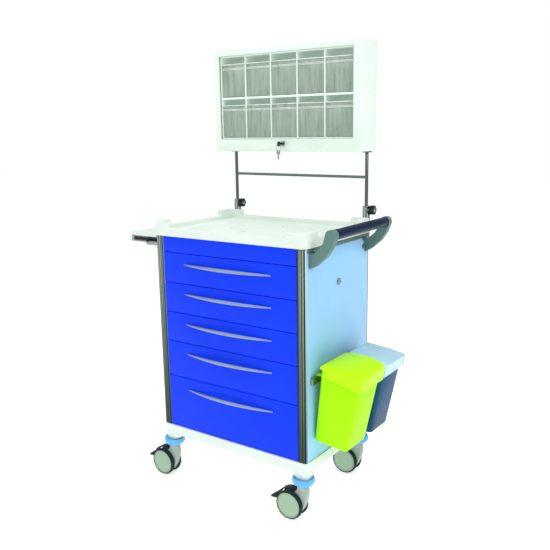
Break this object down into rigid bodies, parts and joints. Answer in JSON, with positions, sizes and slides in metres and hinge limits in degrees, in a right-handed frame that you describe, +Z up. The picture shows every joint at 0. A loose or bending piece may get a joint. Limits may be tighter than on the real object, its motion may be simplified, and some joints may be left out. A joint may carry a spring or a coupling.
{
  "type": "crash cart",
  "caption": "Hospital crash cart: drawer trolley on twin-wheel casters with a height-adjustable tilt-bin cabinet, side shelf, push handle and waste bins.",
  "frame": {"origin": "bottom centre of the bounding box at rest, on the floor", "axes": "+Z up, -Y towards the drawer fronts, +X towards the push handle"},
  "size_m": [0.9796, 0.504, 1.56],
  "materials": {
    "white_abs": "satin moulded",
    "aluminium": "anodised extrusion",
    "blue_front": "satin moulded",
    "blue_panel": "satin sheet",
    "silver_handle": "silver coated",
    "zinc_steel": "zinc plated",
    "chrome": "polished",
    "grey_plastic": "fine texture",
    "black_grip": "satin",
    "black_plastic": "fine texture",
    "white_case": "satin",
    "clear_plastic": "clear moulded",
    "yellow_plastic": "satin moulded",
    "slate_plastic": "satin moulded",
    "pale_blue_plastic": "translucent moulded",
    "caster_body": "moulded nylon",
    "tyre": "rubber"
  },
  "bodies": {
    "cart": {"base_frame": "white_abs", "column_front_left": "aluminium", "column_front_right": "aluminium", "column_rear_left": "aluminium", "column_rear_right": "aluminium", "side_panel_left": "blue_panel", "side_panel_right": "blue_panel", "back_panel": "white_case", "worktop": "white_abs", "fascia": "blue_front", "runner_frame_left": "zinc_steel", "runner_frame_right": "zinc_steel", "grip": "black_grip", "handle_bracket_front": "grey_plastic", "handle_bracket_rear": "grey_plastic", "bin_hanger": "zinc_steel", "clamp_left": "chrome", "clamp_right": "chrome", "yellow_bin": "yellow_plastic", "blue_bin": "slate_plastic"},
    "mast": {"mast_frame": "chrome", "cabinet_housing": "white_case"},
    "drawer_1": {"drawer_1": "blue_front", "drawer_1_handle": "silver_handle"},
    "drawer_2": {"drawer_2": "blue_front", "drawer_2_handle": "silver_handle"},
    "drawer_3": {"drawer_3": "blue_front", "drawer_3_handle": "silver_handle"},
    "drawer_4": {"drawer_4": "blue_front", "drawer_4_handle": "silver_handle"},
    "drawer_5": {"drawer_5": "blue_front", "drawer_5_handle": "silver_handle"},
    "side_shelf": {"side_shelf": "white_abs"},
    "cabinet_door": {"cabinet_door": "white_case"},
    "cabinet_lock": {"cabinet_lock": "chrome"},
    "tilt_bin_lower_1": {"tilt_bin_lower_1": "clear_plastic"},
    "tilt_bin_lower_2": {"tilt_bin_lower_2": "clear_plastic"},
    "tilt_bin_lower_3": {"tilt_bin_lower_3": "clear_plastic"},
    "tilt_bin_lower_4": {"tilt_bin_lower_4": "clear_plastic"},
    "tilt_bin_lower_5": {"tilt_bin_lower_5": "clear_plastic"},
    "tilt_bin_upper_1": {"tilt_bin_upper_1": "clear_plastic"},
    "tilt_bin_upper_2": {"tilt_bin_upper_2": "clear_plastic"},
    "tilt_bin_upper_3": {"tilt_bin_upper_3": "clear_plastic"},
    "tilt_bin_upper_4": {"tilt_bin_upper_4": "clear_plastic"},
    "tilt_bin_upper_5": {"tilt_bin_upper_5": "clear_plastic"},
    "yellow_lid": {"yellow_lid": "yellow_plastic"},
    "blue_lid": {"blue_lid": "pale_blue_plastic"},
    "caster_front_left": {"caster_front_left": "caster_body"},
    "wheels_front_left": {"wheels_front_left": "tyre"},
    "brake_pedal_left": {"brake_pedal_left": "black_plastic"},
    "caster_front_right": {"caster_front_right": "caster_body"},
    "wheels_front_right": {"wheels_front_right": "tyre"},
    "brake_pedal_right": {"brake_pedal_right": "black_plastic"},
    "caster_rear_left": {"caster_rear_left": "caster_body"},
    "wheels_rear_left": {"wheels_rear_left": "tyre"},
    "caster_rear_right": {"caster_rear_right": "caster_body"},
    "wheels_rear_right": {"wheels_rear_right": "tyre"},
    "clamp_knob_left": {"clamp_knob_left": "black_plastic"},
    "clamp_knob_right": {"clamp_knob_right": "black_plastic"},
    "drawer_lock": {"drawer_lock": "chrome"}
  },
  "joints": [
    {"name": "mast_slide", "type": "slide", "parent": "cart", "child": "mast", "axis": [0, 0, 1], "range_m": [-0.085, 0.1]},
    {"name": "drawer_1_slide", "type": "slide", "parent": "cart", "child": "drawer_1", "axis": [0, -1, 0], "range_m": [0, 0.3]},
    {"name": "drawer_2_slide", "type": "slide", "parent": "cart", "child": "drawer_2", "axis": [0, -1, 0], "range_m": [0, 0.3]},
    {"name": "drawer_3_slide", "type": "slide", "parent": "cart", "child": "drawer_3", "axis": [0, -1, 0], "range_m": [0, 0.3]},
    {"name": "drawer_4_slide", "type": "slide", "parent": "cart", "child": "drawer_4", "axis": [0, -1, 0], "range_m": [0, 0.3]},
    {"name": "drawer_5_slide", "type": "slide", "parent": "cart", "child": "drawer_5", "axis": [0, -1, 0], "range_m": [0, 0.3]},
    {"name": "side_shelf_slide", "type": "slide", "parent": "cart", "child": "side_shelf", "axis": [-1, 0, 0], "range_m": [-0.172, 0.13]},
    {"name": "cabinet_door_hinge", "type": "hinge", "parent": "mast", "child": "cabinet_door", "pos_m": [-0.00079, 0.1255, 1.56], "axis": [-1, 0, 0], "range_deg": [0, 100]},
    {"name": "cabinet_lock_turn", "type": "hinge", "parent": "cabinet_door", "child": "cabinet_lock", "pos_m": [-0.00079, 0.12, 1.224], "axis": [0, 1, 0], "range_deg": [0, 90]},
    {"name": "tilt_bin_lower_1_tilt", "type": "hinge", "parent": "mast", "child": "tilt_bin_lower_1", "pos_m": [-0.22479, 0.1343, 1.2505], "axis": [1, 0, 0], "range_deg": [0, 42]},
    {"name": "tilt_bin_lower_2_tilt", "type": "hinge", "parent": "mast", "child": "tilt_bin_lower_2", "pos_m": [-0.11279, 0.1343, 1.2505], "axis": [1, 0, 0], "range_deg": [0, 42]},
    {"name": "tilt_bin_lower_3_tilt", "type": "hinge", "parent": "mast", "child": "tilt_bin_lower_3", "pos_m": [-0.00079, 0.1343, 1.2505], "axis": [1, 0, 0], "range_deg": [0, 42]},
    {"name": "tilt_bin_lower_4_tilt", "type": "hinge", "parent": "mast", "child": "tilt_bin_lower_4", "pos_m": [0.11121, 0.1343, 1.2505], "axis": [1, 0, 0], "range_deg": [0, 42]},
    {"name": "tilt_bin_lower_5_tilt", "type": "hinge", "parent": "mast", "child": "tilt_bin_lower_5", "pos_m": [0.22321, 0.1343, 1.2505], "axis": [1, 0, 0], "range_deg": [0, 42]},
    {"name": "tilt_bin_upper_1_tilt", "type": "hinge", "parent": "mast", "child": "tilt_bin_upper_1", "pos_m": [-0.22479, 0.1343, 1.3975], "axis": [1, 0, 0], "range_deg": [0, 42]},
    {"name": "tilt_bin_upper_2_tilt", "type": "hinge", "parent": "mast", "child": "tilt_bin_upper_2", "pos_m": [-0.11279, 0.1343, 1.3975], "axis": [1, 0, 0], "range_deg": [0, 42]},
    {"name": "tilt_bin_upper_3_tilt", "type": "hinge", "parent": "mast", "child": "tilt_bin_upper_3", "pos_m": [-0.00079, 0.1343, 1.3975], "axis": [1, 0, 0], "range_deg": [0, 42]},
    {"name": "tilt_bin_upper_4_tilt", "type": "hinge", "parent": "mast", "child": "tilt_bin_upper_4", "pos_m": [0.11121, 0.1343, 1.3975], "axis": [1, 0, 0], "range_deg": [0, 42]},
    {"name": "tilt_bin_upper_5_tilt", "type": "hinge", "parent": "mast", "child": "tilt_bin_upper_5", "pos_m": [0.22321, 0.1343, 1.3975], "axis": [1, 0, 0], "range_deg": [0, 42]},
    {"name": "yellow_lid_hinge", "type": "hinge", "parent": "cart", "child": "yellow_lid", "pos_m": [0.34391, -0.11755, 0.53694], "axis": [0, -1, 0], "range_deg": [0, 85]},
    {"name": "blue_lid_hinge", "type": "hinge", "parent": "cart", "child": "blue_lid", "pos_m": [0.34391, 0.0467, 0.53694], "axis": [0, -1, 0], "range_deg": [0, 85]},
    {"name": "caster_front_left_swivel", "type": "hinge", "parent": "cart", "child": "caster_front_left", "pos_m": [-0.28579, -0.206, 0.14], "axis": [0, 0, 1], "continuous": true},
    {"name": "wheels_front_left_spin", "type": "hinge", "parent": "caster_front_left", "child": "wheels_front_left", "pos_m": [-0.33079, -0.206, 0.05], "axis": [0, 1, 0], "continuous": true},
    {"name": "brake_pedal_left_press", "type": "hinge", "parent": "caster_front_left", "child": "brake_pedal_left", "pos_m": [-0.33079, -0.206, 0.05], "axis": [0, -1, 0], "range_deg": [0, 15]},
    {"name": "caster_front_right_swivel", "type": "hinge", "parent": "cart", "child": "caster_front_right", "pos_m": [0.28421, -0.206, 0.14], "axis": [0, 0, 1], "continuous": true},
    {"name": "wheels_front_right_spin", "type": "hinge", "parent": "caster_front_right", "child": "wheels_front_right", "pos_m": [0.23921, -0.206, 0.05], "axis": [0, 1, 0], "continuous": true},
    {"name": "brake_pedal_right_press", "type": "hinge", "parent": "caster_front_right", "child": "brake_pedal_right", "pos_m": [0.23921, -0.206, 0.05], "axis": [0, -1, 0], "range_deg": [0, 15]},
    {"name": "caster_rear_left_swivel", "type": "hinge", "parent": "cart", "child": "caster_rear_left", "pos_m": [-0.28579, 0.174, 0.14], "axis": [0, 0, 1], "continuous": true},
    {"name": "wheels_rear_left_spin", "type": "hinge", "parent": "caster_rear_left", "child": "wheels_rear_left", "pos_m": [-0.33079, 0.174, 0.05], "axis": [0, 1, 0], "continuous": true},
    {"name": "caster_rear_right_swivel", "type": "hinge", "parent": "cart", "child": "caster_rear_right", "pos_m": [0.28421, 0.174, 0.14], "axis": [0, 0, 1], "continuous": true},
    {"name": "wheels_rear_right_spin", "type": "hinge", "parent": "caster_rear_right", "child": "wheels_rear_right", "pos_m": [0.23921, 0.174, 0.05], "axis": [0, 1, 0], "continuous": true},
    {"name": "clamp_knob_left_turn", "type": "hinge", "parent": "cart", "child": "clamp_knob_left", "pos_m": [-0.26449, 0.217, 0.992], "axis": [1, 0, 0], "range_deg": [0, 360]},
    {"name": "clamp_knob_right_turn", "type": "hinge", "parent": "cart", "child": "clamp_knob_right", "pos_m": [0.31051, 0.217, 0.992], "axis": [1, 0, 0], "range_deg": [0, 360]},
    {"name": "drawer_lock_turn", "type": "hinge", "parent": "cart", "child": "drawer_lock", "pos_m": [0.30951, -0.022, 0.782], "axis": [1, 0, 0], "range_deg": [0, 90]}
  ]
}
